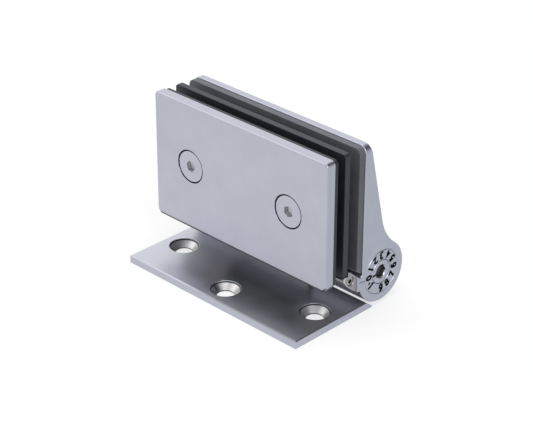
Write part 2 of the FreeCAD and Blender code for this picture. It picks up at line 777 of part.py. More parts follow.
def spring_arbor():
    """Arbor through the spring, with a collar, a driving dog and a key for the hub."""
    radius = "arbor_diameter / 2"
    body = turned_part("spring_arbor", (
        (ANCHOR_BACK, "0"),
        (HUB_BACK, "0"),
        (HUB_BACK, radius),
        (f"{COLLAR_FACE} + collar_width", radius),
        (f"{COLLAR_FACE} + collar_width", COLLAR_RADIUS),
        (COLLAR_FACE, COLLAR_RADIUS),
        (COLLAR_FACE, radius),
        (ANCHOR_BACK, radius),
    ))
    key = new_sketch(body, "key", "YZ_Plane", HUB_BACK)
    draw_hexagon(key, "axis_depth", "axis_height", "arbor_key")
    pad(body, "key_pad", key, "arbor_key_length")
    dog = new_sketch(body, "dog", "YZ_Plane", COLLAR_FACE)
    draw_dog(dog, "(axis_depth - face_gap - dog_width)")
    pad(body, "dog_pad", dog, "wire", reverse=True)
    return body


def spring_anchor():
    """Anchor disc in the knuckle that holds the spring's fixed end."""
    outer = f"({KNUCKLE_BORE} - 2 * seat_gap)"
    body = sleeve_part("spring_anchor", ANCHOR_BACK, ANCHOR_FACE, outer, "(arbor_diameter + 2 * run_gap)")
    dog = new_sketch(body, "dog", "YZ_Plane", ANCHOR_FACE)
    draw_dog(dog, "(axis_depth + face_gap)")
    pad(body, "dog_pad", dog, "wire")
    return body


def draw_dog(sketch, start):
    """Draw the dog that a spring end bears on."""
    middle = f"(axis_height + {COIL_RADIUS})"
    draw_box(sketch, start, f"{start} + dog_width", f"{middle} - wire / 2", f"{middle} + wire / 2")


def torsion_spring():
    """Closing spring wound from square wire round the arbor."""
    body = new_body("torsion_spring")
    wire = new_sketch(body, "wire", "XZ_Plane", "-axis_depth")
    middle = f"(axis_height + {COIL_RADIUS})"
    draw_box(wire, COIL_START, f"{COIL_START} + wire", f"{middle} - wire / 2", f"{middle} + wire / 2")
    draw_axis(wire, (COIL_START, "axis_height"), (COIL_END, "axis_height"))
    coil = new_feature(body, "AdditiveHelix", "coil", wire)
    coil.ReferenceAxis = (wire, ["Axis0"])
    coil.Mode = "height-turns-angle"
    bind(coil, "Height", "coil_length")
    bind(coil, "Turns", "coil_turns")
    return body


def friction_washer():
    """Washer behind the hub that keeps the dial where it is set."""
    outer = f"({HUB_FLANGE} - 2 * face_gap)"
    return sleeve_part("friction_washer", HUB_SEAT, HUB_BACK, outer, "(arbor_diameter + 2 * face_gap)")


def anchor_screw():
    """Headless screw through the knuckle's back that holds the spring anchor."""
    body = new_body("anchor_screw")
    start = f"(axis_depth + {KNUCKLE_BORE} / 2)"
    thread = new_sketch(body, "thread", "XZ_Plane", f"-{start}")
    draw_circle(thread, ANCHOR_MIDDLE, "axis_height", "anchor_screw_size - 2 * run_gap")
    pad(body, "shank", thread, ANCHOR_SCREW_LENGTH, reverse=True)
    key = new_sketch(body, "key", "XZ_Plane", f"-({start} + {ANCHOR_SCREW_LENGTH})")
    draw_hexagon(key, ANCHOR_MIDDLE, "axis_height", "anchor_screw_key")
    pocket(body, "key_cut", key, "anchor_screw_key_depth", reverse=True)
    return body


def lug_screw():
    """Headless screw in the lug's right end."""
    body = new_body("lug_screw")
    face = f"({LUG_END} - lug_screw_sink)"
    thread = new_sketch(body, "thread", "YZ_Plane", face)
    draw_circle(thread, LUG_SCREW_DEPTH, LUG_SCREW_HEIGHT, "lug_screw_size")
    pad(body, "shank", thread, "lug_screw_length", reverse=True)
    key = new_sketch(body, "key", "YZ_Plane", face)
    draw_hexagon(key, LUG_SCREW_DEPTH, LUG_SCREW_HEIGHT, "lug_screw_key")
    pocket(body, "key_cut", key, "lug_screw_key_depth")
    return body


def build_parts():
    """Make every sub-part."""
    return [
        wall_plate(),
        hinge_body(),
        front_plate(),
        sheet_part(
            "front_gasket", FRONT_BACK, "front_gasket", "front_gasket_inset",
            f"{CLAMP_TOP} - front_gasket_inset", "front_corner", "clamp_bottom + front_gasket_inset",
        ),
        sheet_part(
            "packing_plate", PACKER_FACE, "packer_thickness", "packer_inset",
            f"{CLAMP_TOP} - packer_top_inset", "packer_corner",
        ),
        rear_gasket(),
        clamp_screws(),
        screw_sleeves(),
        pivot_bush("left_bush", "-1"),
        pivot_bush("right_bush", "1"),
        left_pivot(),
        right_pivot(),
        end_cap(),
        dial_ring(),
        dial_hub(),
        friction_washer(),
        spring_arbor(),
        spring_anchor(),
        torsion_spring(),
        anchor_screw(),
        lug_screw(),
    ]


def check_parts(bodies):
    """Stop if any object or sub-part failed."""
    for item in document.Objects:
        if "Invalid" in item.State or "Error" in item.State:
            raise ValueError(f"{item.Name} failed: {item.State}")
    for body in bodies:
        if body.Shape.isNull() or not body.Shape.isValid():
            raise ValueError(f"{body.Label} has no valid shape")


def export_parts(bodies):
    """Write each sub-part to its own file."""
    os.makedirs("parts", exist_ok=True)
    for body in bodies:
        body.Shape.exportStep(f"parts/{body.Label}.step")
        print(body.Label, len(body.Shape.Solids), round(body.Shape.Volume, 1))


fill_sheet()
parts = build_parts()
document.recompute()
check_parts(parts)
export_parts(parts)
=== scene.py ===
import logging
import math
from collections.abc import Callable, Sequence
from dataclasses import dataclass
from enum import Enum
from functools import cache

import bmesh
import bpy
from mathutils import Matrix, Vector


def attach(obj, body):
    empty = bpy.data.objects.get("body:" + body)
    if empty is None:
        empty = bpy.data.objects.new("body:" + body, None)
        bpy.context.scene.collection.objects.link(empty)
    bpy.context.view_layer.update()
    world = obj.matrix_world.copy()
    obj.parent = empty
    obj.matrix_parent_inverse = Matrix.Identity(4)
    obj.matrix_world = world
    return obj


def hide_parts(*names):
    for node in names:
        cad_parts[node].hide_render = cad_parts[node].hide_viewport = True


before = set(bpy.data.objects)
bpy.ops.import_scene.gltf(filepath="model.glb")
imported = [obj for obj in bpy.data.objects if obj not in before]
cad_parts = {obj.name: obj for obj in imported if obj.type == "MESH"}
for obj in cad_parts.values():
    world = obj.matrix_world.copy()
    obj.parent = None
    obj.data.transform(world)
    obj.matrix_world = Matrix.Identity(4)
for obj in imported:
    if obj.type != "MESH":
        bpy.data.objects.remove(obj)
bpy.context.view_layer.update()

# Glass gate hinge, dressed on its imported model. The sizes of the pieces are in millimetres until a mesh
# is placed, where MM turns them into metres. The studio's lamps are in metres.
LOG = logging.getLogger("gate_hinge")
MM = 0.001
# The hinge line along Y and Z, and the face of the lug screw.
AXIS = (32.0, 16.5)
LUG_FACE = (53.8, 11.8, 19.2)
# The clamp screws and the wall holes, as their distance from the middle and their place along Z or Y.
CLAMPS = (31.55, 53.15)
SIDE_HOLE, MIDDLE_HOLE = (43.5, 0.0), (0.0, -14.35)

Point = tuple[float, float]
Triple = tuple[float, float, float]
Draft = bmesh.types.BMesh
Material = bpy.types.Material
Piece = bpy.types.Object
Socket = bpy.types.NodeSocket


class Body(Enum):
    """Rigid bodies of the hinge that a piece can ride on."""

    WALL = "wall_leaf"
    CLAMP = "clamp_leaf"
    DIAL = "tension_dial"


class Slot(Enum):
    """Material slots of the record, which Assembly.put is given but does not use."""

    SATIN = "satin_steel"
    SCREW = "screw_steel"
    DIAL = "dial_steel"
    GASKET = "gasket_rubber"
    PACKING = "packing_rubber"


class Facing(Enum):
    """Ways that a piece's own upward axis points, as the matrix from its frame to the hinge's."""

    RIGHT = Matrix(((0, 0, 1), (1, 0, 0), (0, 1, 0)))
    FRONT = Matrix(((1, 0, 0), (0, 0, -1), (0, 1, 0)))

    def at(self, centre: Sequence[float]) -> Matrix:
        """Give the matrix that sets a piece at a place in millimetres."""
        return Matrix.Translation(centre) @ self.value.to_4x4()


# Finishes


def even(scale: float) -> Triple:
    """Give the same scale along each axis."""
    return (scale,) * 3


def shade(colour: Triple, factor: float) -> Triple:
    """Make a colour lighter or darker."""
    return tuple(part * factor for part in colour)


class Nodes:
    """One material and short calls for its nodes."""

    def __init__(self, name: str, tree: bpy.types.NodeTree | None = None) -> None:
        """Start an empty material, or empty the nodes of a world.

        Args:
            name: The material's name.
            tree: The world's nodes, or None for a new material.
        """
        self.material = None if tree else bpy.data.materials.new(name)
        if self.material:
            self.material.use_nodes = True
        self.tree = tree or self.material.node_tree
        self.tree.nodes.clear()

    def feed(self, socket: Socket, given: object) -> None:
        """Set a socket, or link it to another node's output.

        Args:
            socket: The socket.
            given: A number, a vector, a colour or an output socket.
        """
        if isinstance(given, Socket):
            self.tree.links.new(given, socket)
        else:
            socket.default_value = (*given, 1.0) if socket.type == "RGBA" else given

    def add(self, kind: str, **inputs: object) -> bpy.types.Node:
        """Add a node.

        Args:
            kind: Its type, without the ShaderNode prefix.
            inputs: What its inputs are fed with, by their names with _ for a space.

        Returns:
            The new node.
        """
        node = self.tree.nodes.new(f"ShaderNode{kind}")
        for name, given in inputs.items():
            self.feed(node.inputs[name.replace("_", " ")], given)
        return node

    def math(self, operation: str, first: object, second: object = 0.0) -> Socket:
        """Add a math node.

        Args:
            operation: The operation's name.
            first: A number or an output socket.
            second: A number or an output socket.

        Returns:
            The result's socket.
        """
        node = self.add("Math")
        node.operation = operation
        self.feed(node.inputs[0], first)
        self.feed(node.inputs[1], second)
        return node.outputs[0]

    def ramp(self, value: Socket, start: float, end: float, low: float = 0.0, high: float = 1.0) -> Socket:
        """Spread the part of a value between two places over a range."""
        node = self.add("MapRange", Value=value, From_Min=start, From_Max=end, To_Min=low, To_Max=high)
        return node.outputs["Result"]

    def span(self, value: Socket, low: float, high: float) -> Socket:
        """Spread the middle of a noise value over a range."""
        return self.ramp(value, 0.3, 0.7, low, high)

    def place(self, scale: Triple) -> Socket:
        """Give the object's coordinates in metres, stretched by a scale along each axis."""
        source = self.add("TexCoord").outputs["Object"]
        return self.add("Mapping", Vector=source, Scale=scale).outputs["Vector"]

    def rear_right(self) -> Socket:
        """Give the sum of X and Y in metres, which grows from the front left corner to the rear right one."""
        parts = self.add("SeparateXYZ", Vector=self.place(even(1.0)))
        return self.math("ADD", parts.outputs["X"], parts.outputs["Y"])

    def noise(self, scale: Triple, detail: float) -> Socket:
        """Give a noise value from 0 to 1 that has a scale of its own along each axis."""
        return self.add("TexNoise", Vector=self.place(scale), Scale=1.0, Detail=detail).outputs["Fac"]

    def ray(self, kind: str) -> Socket:
        """Give 1 for rays of a kind and 0 for the others."""
        return self.add("LightPath").outputs[f"Is {kind} Ray"]

    def blend(self, factor: Socket, first: Triple | Socket, second: Triple, kind: str = "MIX") -> Socket:
        """Mix two colours by a factor.

        Args:
            factor: The factor's socket.
            first: A colour, plain or from a node.
            second: The colour that it is mixed with.
            kind: The way of mixing.

        Returns:
            The result's socket.
        """
        node = self.add("Mix")
        node.data_type = "RGBA"
        node.blend_type = kind
        for socket, given in zip((node.inputs[0], node.inputs[6], node.inputs[7]), (factor, first, second)):
            self.feed(socket, given)
        return node.outputs[2]

    def finish(self, surface: bpy.types.Node) -> Material:
        """Send a surface node to the output and give the material."""
        self.add("OutputMaterial", Surface=surface.outputs[0])
        return self.material

    def relief(self, tint: Socket, gloss: Socket, height: Socket, depth: float, strength: float = 1.0,
               **inputs: object) -> Material:
        """Finish the material as one with a fine relief.

        Args:
            tint: Its colour.
            gloss: Its roughness.
            height: The relief from 0 to 1.
            depth: The relief's depth in metres.
            strength: How far the relief counts.
            inputs: What the shader's other inputs are fed with.

        Returns:
            The material.
        """
        bump = self.add("Bump", Strength=strength, Distance=depth, Height=height)
        return self.finish(self.add(
            "BsdfPrincipled", Base_Color=tint, Roughness=gloss, Normal=bump.outputs["Normal"], **inputs,
        ))


@dataclass(frozen=True)
class Finish:
    """What all finishes of the hinge have: a name, a colour and a mean roughness."""

    name: str
    colour: Triple
    roughness: float

    def material(self) -> Material:
        """Build the material, which each kind of finish does in its own way."""
        raise NotImplementedError

    def tint(self, nodes: Nodes, noise: Socket, low: float, high: float) -> Socket:
        """Vary the colour between two factors by a noise value."""
        return nodes.blend(nodes.span(noise, 0.0, 1.0), shade(self.colour, low), shade(self.colour, high))

    def gloss(self, nodes: Nodes, noise: Socket, spread: float) -> Socket:
        """Vary the roughness up and down by a noise value."""
        return nodes.span(noise, self.roughness - spread, self.roughness + spread)


@dataclass(frozen=True)
class Steel(Finish):
    """Satin steel, with fine grinding lines along the hinge, small changes in gloss and, where given, painted
    shade towards the rear right.
    """

    grain: Triple = (220.0, 9000.0, 9000.0)  # Lines per metre along X, Y and Z.
    depth: float = 0.0000035  # Depth of the lines in metres.
    sheltered: Triple | None = None  # Factors of painted shade on its colour away from the front left corner.
    shelter: Point = (-0.045, -0.02)  # Sums of X and Y in metres where the painted shade sets in and holds.

    @cache
    def material(self) -> Material:
        """Build the material on first use.

        Returns:
            The material.
        """
        nodes = Nodes(self.name)
        lines = nodes.noise(self.grain, 4.0)
        clouds = nodes.noise(even(90.0), 3.0)
        peel = nodes.noise(even(1400.0), 2.0)
        tint = self.tint(nodes, clouds, 0.965, 1.03)
        # Painted shade: the colour is multiplied down from the front left corner towards the rear right.
        if self.sheltered:
            painted_shade_mask = nodes.ramp(nodes.rear_right(), *self.shelter)
            tint = nodes.blend(painted_shade_mask, tint, self.sheltered, "MULTIPLY")
        gloss = nodes.math("ADD", self.gloss(nodes, clouds, 0.02), nodes.span(lines, -0.03, 0.03))
        height = nodes.math("ADD", nodes.math("MULTIPLY", lines, 0.6), nodes.math("MULTIPLY", peel, 0.4))
        return nodes.relief(tint, gloss, height, self.depth, Metallic=1.0)


@dataclass(frozen=True)
class TurnedSteel(Finish):
    """Steel turned on a lathe, with fine rings round its own axis and, where given, a painted ring of shade.
    """

    centre: Point  # A point of the axis, as the two coordinates across it. X counts to both sides.
    across: tuple[int, int]  # The two axes across it, 0 for X, 1 for Y and 2 for Z.
    rings: float = 5200.0  # Rings per metre of radius.
    depth: float = 0.000004  # Depth of the rings in metres.
    mottle: float = 0.035  # How far the colour changes from place to place.
    patches: float = 160.0  # Patches of such a change per metre.
    groove: float = 0.0  # Radius from which a painted ring of shade begins, or 0 for none.

    @cache
    def material(self) -> Material:
        """Build the material on first use.

        Returns:
            The material.
        """
        nodes = Nodes(self.name)
        parts = nodes.add("SeparateXYZ", Vector=nodes.add("TexCoord").outputs["Object"])
        squares = []
        for axis, middle in zip(self.across, self.centre):
            place = parts.outputs[axis] if axis else nodes.math("ABSOLUTE", parts.outputs["X"])
            offset = nodes.math("SUBTRACT", place, middle * MM)
            squares.append(nodes.math("MULTIPLY", offset, offset))
        radius = nodes.math("SQRT", nodes.math("ADD", *squares))
        ring = nodes.add("TexNoise", Scale=self.rings, Detail=3.0)
        ring.noise_dimensions = "1D"
        nodes.feed(ring.inputs["W"], radius)
        clouds = nodes.noise(even(self.patches), 3.0)
        tint = self.tint(nodes, clouds, 1 - self.mottle, 1 + self.mottle)
        # Painted shade: a dark ring from the given radius outwards.
        if self.groove:
            painted_ring_mask = nodes.ramp(radius, (self.groove - 0.12) * MM, self.groove * MM)
            tint = nodes.blend(painted_ring_mask, tint, even(0.06))
        gloss = self.gloss(nodes, ring.outputs["Fac"], 0.035)
        return nodes.relief(tint, gloss, ring.outputs["Fac"], self.depth, Metallic=1.0)


@dataclass(frozen=True)
class Rubber(Finish):
    """Moulded rubber or plastic with a fine matt grain."""

    grain: float = 4200.0  # Grains per metre.
    depth: float = 0.00002  # Their depth in metres.

    @cache
    def material(self) -> Material:
        """Build the material on first use.

        Returns:
            The material.
        """
        nodes = Nodes(self.name)
        fine = nodes.noise(even(self.grain), 3.0)
        tint = self.tint(nodes, nodes.noise(even(140.0), 4.0), 0.9, 1.1)
        gloss = self.gloss(nodes, fine, 0.05)
        return nodes.relief(tint, gloss, fine, self.depth, 0.7, Specular_Tint=(0.86, 0.92, 1.0))


@dataclass(frozen=True)
class Ink(Finish):
    """Black paint in the engraved numbers and marks."""

    roughness: float = 0.775

    @cache
    def material(self) -> Material:
        """Build the material on first use.

        Returns:
            The material.
        """
        nodes = Nodes(self.name)
        fine = nodes.noise(even(5200.0), 2.0)
        tint = self.tint(nodes, fine, 1.0, 1.6)
        gloss = self.gloss(nodes, fine, 0.075)
        paint = nodes.add("BsdfPrincipled", Base_Color=tint, Roughness=gloss, Specular_IOR_Level=0.06)
        return nodes.finish(paint)


# The colour of the steel, the grain of pressed surfaces and the axes across a turned piece's own.
STEEL = (0.472, 0.481, 0.555)
PRESSED = even(2600.0)
ACROSS_X, ACROSS_Z = (1, 2), (0, 1)
# The colour and the tool marks of the countersinks, with a painted ring of shade at their mouths.
SINK = (0.6, 0.59, 0.595)
CUT = {"rings": 4200.0, "depth": 0.000012, "mottle": 0.16, "patches": 1500.0, "groove": 6.85}

CASTING = Steel("satin_casting", STEEL, 0.34)
LUG = Steel("cast_lug", (0.37, 0.358, 0.372), 0.42, even(1500.0), 0.00001)
PLATE = Steel("satin_plate", STEEL, 0.34)
# Painted light and reflection: a lighter copy of the steel for the wall plate's top face, made less blue
# towards the rear right as a painted reflection of the clamp leaf.
WALL = Steel("wall_top_painted_light", (0.543, 0.557, 0.624), 0.37, sheltered=(1.0, 0.988, 0.92))
# Painted shade: the wall plate's front chamfer is multiplied darker towards the rear right.
WALL_EDGE_PAINTED_SHADE = Steel("wall_edge_painted_shade", STEEL, 0.34, sheltered=(0.5, 0.5, 0.49))
# Painted shade: a darker copy of the steel on the front plate's lower chamfer.
FOOT_EDGE_PAINTED_SHADE = Steel("foot_edge_painted_shade", shade(STEEL, 0.22), 0.4)
# Painted highlight: near-white steel on the rounded edges at the lug's tip.
LUG_TIP_PAINTED_HIGHLIGHT = Steel("lug_tip_painted_highlight", (0.82, 0.82, 0.84), 0.24)
# Painted shade: near-black steel on the faces in the gap round the clamp screws' heads.
SCREW_GAP_PAINTED_SHADE = Steel("screw_gap_painted_shade", (0.015, 0.015, 0.017), 0.45, PRESSED)
SCREW = TurnedSteel("turned_screw", STEEL, 0.32, CLAMPS, (0, 2))
KEY = Steel("pressed_key_walls", (0.47, 0.48, 0.505), 0.55, PRESSED)
# Painted light: a near-white, rough copy of the steel on the floor of the clamp screws' sockets, lifting
# their shade.
KEY_FLOOR_PAINTED_LIGHT = Steel("key_floor_painted_light", (0.95, 0.95, 0.97), 0.78, PRESSED)
# Painted shade: dark steel in the key sockets of the dial hub and the lug screw.
KEY_SOCKET_PAINTED_SHADE = Steel("key_socket_painted_shade", (0.2, 0.203, 0.215), 0.45, PRESSED)
DIAL = TurnedSteel("turned_dial", STEEL, 0.32, AXIS, ACROSS_X)
SINK_SIDES = TurnedSteel("turned_sink_sides", SINK, 0.32, SIDE_HOLE, ACROSS_Z, **CUT)
SINK_MIDDLE = TurnedSteel("turned_sink_middle", SINK, 0.32, MIDDLE_HOLE, ACROSS_Z, **CUT)
# Painted shade: near-black steel on the upright walls above and below the countersinks' cones.
SINK_RIM_PAINTED_SHADE = Steel("sink_rim_painted_shade", even(0.1), 0.45, PRESSED)
LUG_SCREW = TurnedSteel("turned_lug_screw", (0.5, 0.49, 0.5), 0.36, LUG_FACE[1:], ACROSS_X)
INNER = TurnedSteel("turned_inner", (0.42, 0.43, 0.45), 0.28, AXIS, ACROSS_X)
SPRING = Steel("spring_wire", (0.2, 0.2, 0.22), 0.38, PRESSED)
GASKET = Rubber("gasket_rubber", (0.02, 0.0215, 0.028), 0.48)
LIGHT_GASKET = Rubber("light_gasket_rubber", (0.145, 0.15, 0.172), 0.5)
# Painted highlight: near-white rubber along the lower edge of the rear gasket.
GASKET_LIP_PAINTED_HIGHLIGHT = Rubber("gasket_lip_painted_highlight", (0.85, 0.85, 0.86), 0.5)
PACKING = Rubber("packing_rubber", (0.024, 0.026, 0.034), 0.46)
SLEEVE = Rubber("sleeve_plastic", (0.02, 0.02, 0.021), 0.5)
BUSH = Rubber("bush_plastic", (0.16, 0.16, 0.165), 0.45)
INK = Ink("dial_ink", (0.004, 0.004, 0.005))
INDEX = Ink("index_ink", (0.03, 0.03, 0.033))


# Meshes


@dataclass(frozen=True)
class Corner:
    """Corner of a turned profile: its place along the axis, its radius and how far it is rounded."""

    along: float
    radius: float
    rounding: float = 0.0


def round_profile(corners: Sequence[Corner], steps: int = 5) -> list[Point]:
    """Replace each soft corner of a profile by a few points on a curve.

    Args:
        corners: The profile's corners in order.
        steps: Points on each curve.

    Returns:
        The places along the axis and their radii.
    """
    points: list[Point] = []
    for index, corner in enumerate(corners):
        here = Vector((corner.along, corner.radius))
        if not corner.rounding or index in (0, len(corners) - 1):
            points.append(tuple(here))
            continue
        before, after = (
            Vector((corners[near].along, corners[near].radius)) - here for near in (index - 1, index + 1)
        )
        reach = min(corner.rounding, before.length * 0.45, after.length * 0.45)
        start = here + before.normalized() * reach
        end = here + after.normalized() * reach
        for step in range(steps):
            t = step / (steps - 1)
            points.append(tuple(start * (1 - t) ** 2 + here * (2 * t * (1 - t)) + end * t ** 2))
    return points


def link(name: str, data: bpy.types.ID) -> Piece:
    """Add an object to the scene.

    Args:
        name: The object's name.
        data: Its mesh, curve, camera or lamp.

    Returns:
        The new object.
    """
    item = bpy.data.objects.new(name, data)
    bpy.context.scene.collection.objects.link(item)
    return item


def settle(draft: Draft, place: Matrix | None = None) -> bpy.types.Mesh:
    """Turn a draft into a mesh whose faces look outwards, and free it.

    Args:
        draft: The draft.
        place: The matrix that moves it, or None.

    Returns:
        The mesh.
    """
    bmesh.ops.recalc_face_normals(draft, faces=draft.faces)
    bmesh.ops.transform(draft, matrix=place or Matrix(), verts=draft.verts)
    mesh = bpy.data.meshes.new("settled")
    draft.to_mesh(mesh)
    draft.free()
    return mesh


def bridge(draft: Draft, rings: Sequence[Sequence[bmesh.types.BMVert]], closed: bool) -> None:
    """Join neighbouring rings of corners by faces.

    Args:
        draft: The draft.
        rings: The rings, of which one with a single corner is a tip.
        closed: Whether the last ring meets the first one.
    """
    pairs = list(zip(rings, rings[1:]))
    if closed:
        pairs.append((rings[-1], rings[0]))
    for first, second in pairs:
        count = max(len(first), len(second))
        for index in range(count):
            following = (index + 1) % count
            face = dict.fromkeys((
                first[index % len(first)], first[following % len(first)],
                second[following % len(second)], second[index % len(second)],
            ))
            if len(face) > 2:
                draft.faces.new(face)


def finish_mesh(mesh: bpy.types.Mesh, name: str, crease: float = 34.0) -> Piece:
    """Make an object of a mesh, smooth but for its sharp edges, with flat faces kept flat.

    Args:
        mesh: The mesh, in metres.
        name: The piece's name.
        crease: The angle in degrees from which an edge stays sharp.

    Returns:
        The new object.
    """
    mesh.name = name
    mesh.shade_smooth()
    mesh.set_sharp_from_angle(angle=math.radians(crease))
    piece = link(name, mesh)
    weighted = piece.modifiers.new("even_faces", "WEIGHTED_NORMAL")
    weighted.keep_sharp = True
    weighted.weight = 80
    return piece


def lathe(name: str, corners: Sequence[Corner], facing: Facing, centre: Sequence[float],
          segments: int = 128, turn: float = 0.0) -> Piece:
    """Turn a profile about an axis.

    Args:
        name: The piece's name.
        corners: The profile, from the axis outwards, or round from an inner wall to where it began.
        facing: The way the axis points.
        centre: A point of the axis from which the profile's places are counted.
        segments: Sides of the round.
        turn: The first side's turn in degrees.

    Returns:
        The new object.
    """
    closed = corners[0].radius > 0
    profile = round_profile([corners[-1], *corners, corners[0]] if closed else corners)
    if closed:
        profile = profile[1:-1]
    draft = bmesh.new()
    angles = [math.radians(turn) + 2 * math.pi * index / segments for index in range(segments)]
    rings = [
        [draft.verts.new((radius * math.cos(a), radius * math.sin(a), along)) for a in angles]
        if radius > 1e-6 else [draft.verts.new((0, 0, along))]
        for along, radius in profile
    ]
    bridge(draft, rings, closed)
    return finish_mesh(settle(draft, Matrix.Scale(MM, 4) @ facing.at(centre)), name)


def key_cutter(flats: float, depth: float, point: float, turn: float, facing: Facing,
               centre: Sequence[float]) -> Piece:
    """Make a cutter for a hexagon socket: a prism that starts above a face and ends in a cone.

    Args:
        flats: Its width across the flats.
        depth: Its depth below the face.
        point: How much deeper the cone's point lies.
        turn: Its turn about its axis in degrees.
        facing: The way the face looks.
        centre: The middle of the face.

    Returns:
        The cutter.
    """
    reach = flats / math.sqrt(3)
    profile = (Corner(1.0, 0), Corner(1.0, reach), Corner(-depth, reach), Corner(-depth - point, 0))
    return lathe("cutter", profile, facing, centre, 6, turn)


def evaluated_mesh(piece: Piece) -> bpy.types.Mesh:
    """Copy a piece's mesh with its modifiers applied."""
    bpy.context.view_layer.update()
    return bpy.data.meshes.new_from_object(piece.evaluated_get(bpy.context.evaluated_depsgraph_get()))


def carve(piece: Piece, cutters: Sequence[Piece], edge: float) -> Piece:
    """Cut sockets into a piece and soften the new edges.

    Args:
        piece: The piece, which is replaced.
        cutters: The cutters, which are removed.
        edge: Width of the softened edges.

    Returns:
        The carved piece under the same name.
    """
    name = piece.name
    for item in (piece, *cutters):
        item.modifiers.clear()
    for cutter in cutters:
        cut = piece.modifiers.new("cut", "BOOLEAN")
        cut.operation = "DIFFERENCE"
        cut.solver = "EXACT"
        cut.object = cutter
    soften = piece.modifiers.new("soften", "BEVEL")
    soften.limit_method = "ANGLE"
    soften.angle_limit = math.radians(35)
    soften.width = edge * MM
    soften.segments = 2
    soften.use_clamp_overlap = True
    mesh = evaluated_mesh(piece)
    for old in (piece, *cutters):
        bpy.data.objects.remove(old)
    return finish_mesh(mesh, name)


@dataclass(frozen=True)
class WornEdge:
    """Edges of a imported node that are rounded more, picked by their corners' places in millimetres."""

    holds: Callable[[Vector], bool]
    width: float
    segments: int = 5  # Steps across them, 1 for a flat chamfer.


def refine(node: str, name: str, edge: float, worn: Sequence[WornEdge] = ()) -> Piece:
    """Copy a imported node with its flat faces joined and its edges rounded.

    Args:
        node: The node to copy.
        name: The new piece's name.
        edge: Width of the rounded edges.
        worn: Edges that are rounded more.

    Returns:
        The new object.
    """
    crease = 28.0
    draft = bmesh.new()
    draft.from_mesh(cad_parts[node].data)
    bmesh.ops.remove_doubles(draft, verts=draft.verts, dist=1e-7)
    bmesh.ops.dissolve_limit(draft, angle_limit=math.radians(0.4), verts=draft.verts, edges=draft.edges)
    for rule in worn:
        picked = [
            item for item in draft.edges
            if item.is_manifold and item.calc_face_angle() > math.radians(60)
            and all(rule.holds(corner.co / MM) for corner in item.verts)
        ]
        bmesh.ops.bevel(draft, geom=picked, offset=rule.width * MM, segments=rule.segments, profile=0.5,
                        affect="EDGES", clamp_overlap=False, loop_slide=True)
    sharp = [
        item for item in draft.edges if item.is_manifold and item.calc_face_angle() > math.radians(crease)
    ]
    bmesh.ops.bevel(draft, geom=sharp, offset=edge * MM, segments=3, profile=0.5, affect="EDGES",
                    clamp_overlap=True, loop_slide=True)
    return finish_mesh(settle(draft), name, crease)


@dataclass(frozen=True)
class Bow:
    """Part of an ellipse, from one angle in degrees to another."""

    middle: Point
    reach: Point
    start: float
    end: float

    def points(self, count: int = 0) -> list[Point]:
        """List points along the bow.

        Args:
            count: The steps between them, or 0 for as many as the bow needs.

        Returns:
            The points in order.
        """
        count = count or max(4, round(abs(self.end - self.start) / 12))
        step = (self.end - self.start) / count
        angles = [math.radians(self.start + step * index) for index in range(count + 1)]
        return [(self.middle[0] + self.reach[0] * math.cos(a), self.middle[1] + self.reach[1] * math.sin(a))
                for a in angles]


@dataclass(frozen=True)
class Sheet:
    """Flat sheet that faces the front, with round corners, holes and soft edges."""

    name: str
    half_width: float
    bottom: float
    top: float
    near: float  # Its front face.
    thickness: float
    corner: float  # Radius of its upper corners.
    edge: float  # Radius of its soft edges.
    foot: float = 0.6  # Radius of its lower corners.
    hole: float = 6.1
    relief: float = 0.0  # Height that is cleared at the middle of its lower edge.
    relief_half: float = 24.3  # Half the width that is cleared.
    lean: float = 0.0  # How much lower its lower end lies at the rear face.

    def outline(self) -> list[Point]:
        """List the points of its outline.

        Returns:
            The points across and up.
        """
        points: list[Point] = []
        rounds = (
            (self.half_width - self.foot, self.bottom + self.foot, self.foot, -90),
            (self.half_width - self.corner, self.top - self.corner, self.corner, 0),
            (self.corner - self.half_width, self.top - self.corner, self.corner, 90),
            (self.foot - self.half_width, self.bottom + self.foot, self.foot, 180),
        )
        for across, up, radius, start in rounds:
            points += Bow((across, up), (radius, radius), start, start + 90).points(10)
        if self.relief:
            half, low, high = self.relief_half, self.bottom, self.bottom + self.relief
            points += [(-half, low), (-half, high), (half, high), (half, low)]
        return points

    def build(self) -> Piece:
        """Build the sheet.

        Returns:
            The new object.
        """
        curve = bpy.data.curves.new(self.name, "CURVE")
        curve.dimensions = "2D"
        curve.fill_mode = "BOTH"
        curve.extrude = self.thickness / 2 - self.edge
        curve.bevel_depth = self.edge
        curve.bevel_resolution = 3
        curve.offset = -self.edge
        across, up = CLAMPS
        round_hole = (self.hole, self.hole)
        circles = (Bow((middle, up), round_hole, 0, 355).points(71) for middle in (-across, across))
        for points in (self.outline(), *circles):
            spline = curve.splines.new("POLY")
            spline.points.add(len(points) - 1)
            for point, (across, up) in zip(spline.points, points):
                point.co = (across, up, 0, 1)
            spline.use_cyclic_u = True
        flat = link("flat", curve)
        mesh = evaluated_mesh(flat)
        bpy.data.objects.remove(flat)
        bpy.data.curves.remove(curve)
        mesh.transform(Matrix.Scale(MM, 4) @ Facing.FRONT.at((0, self.near + self.thickness / 2, 0)))
        draft = bmesh.new()
        draft.from_mesh(mesh)
        bmesh.ops.remove_doubles(draft, verts=draft.verts, dist=1e-6)
        for vertex in draft.verts:
            if self.lean and vertex.co.z < (self.bottom + self.foot + 0.1) * MM:
                vertex.co.z -= self.lean * (vertex.co.y - self.near * MM) / self.thickness
        return finish_mesh(settle(draft), self.name)


# Sub-assemblies


@dataclass(frozen=True)
class Region:
    """Faces with a finish of their own, picked by their middle in millimetres and the way they look."""

    finish: Finish
    holds: Callable[[Vector, Vector], bool]


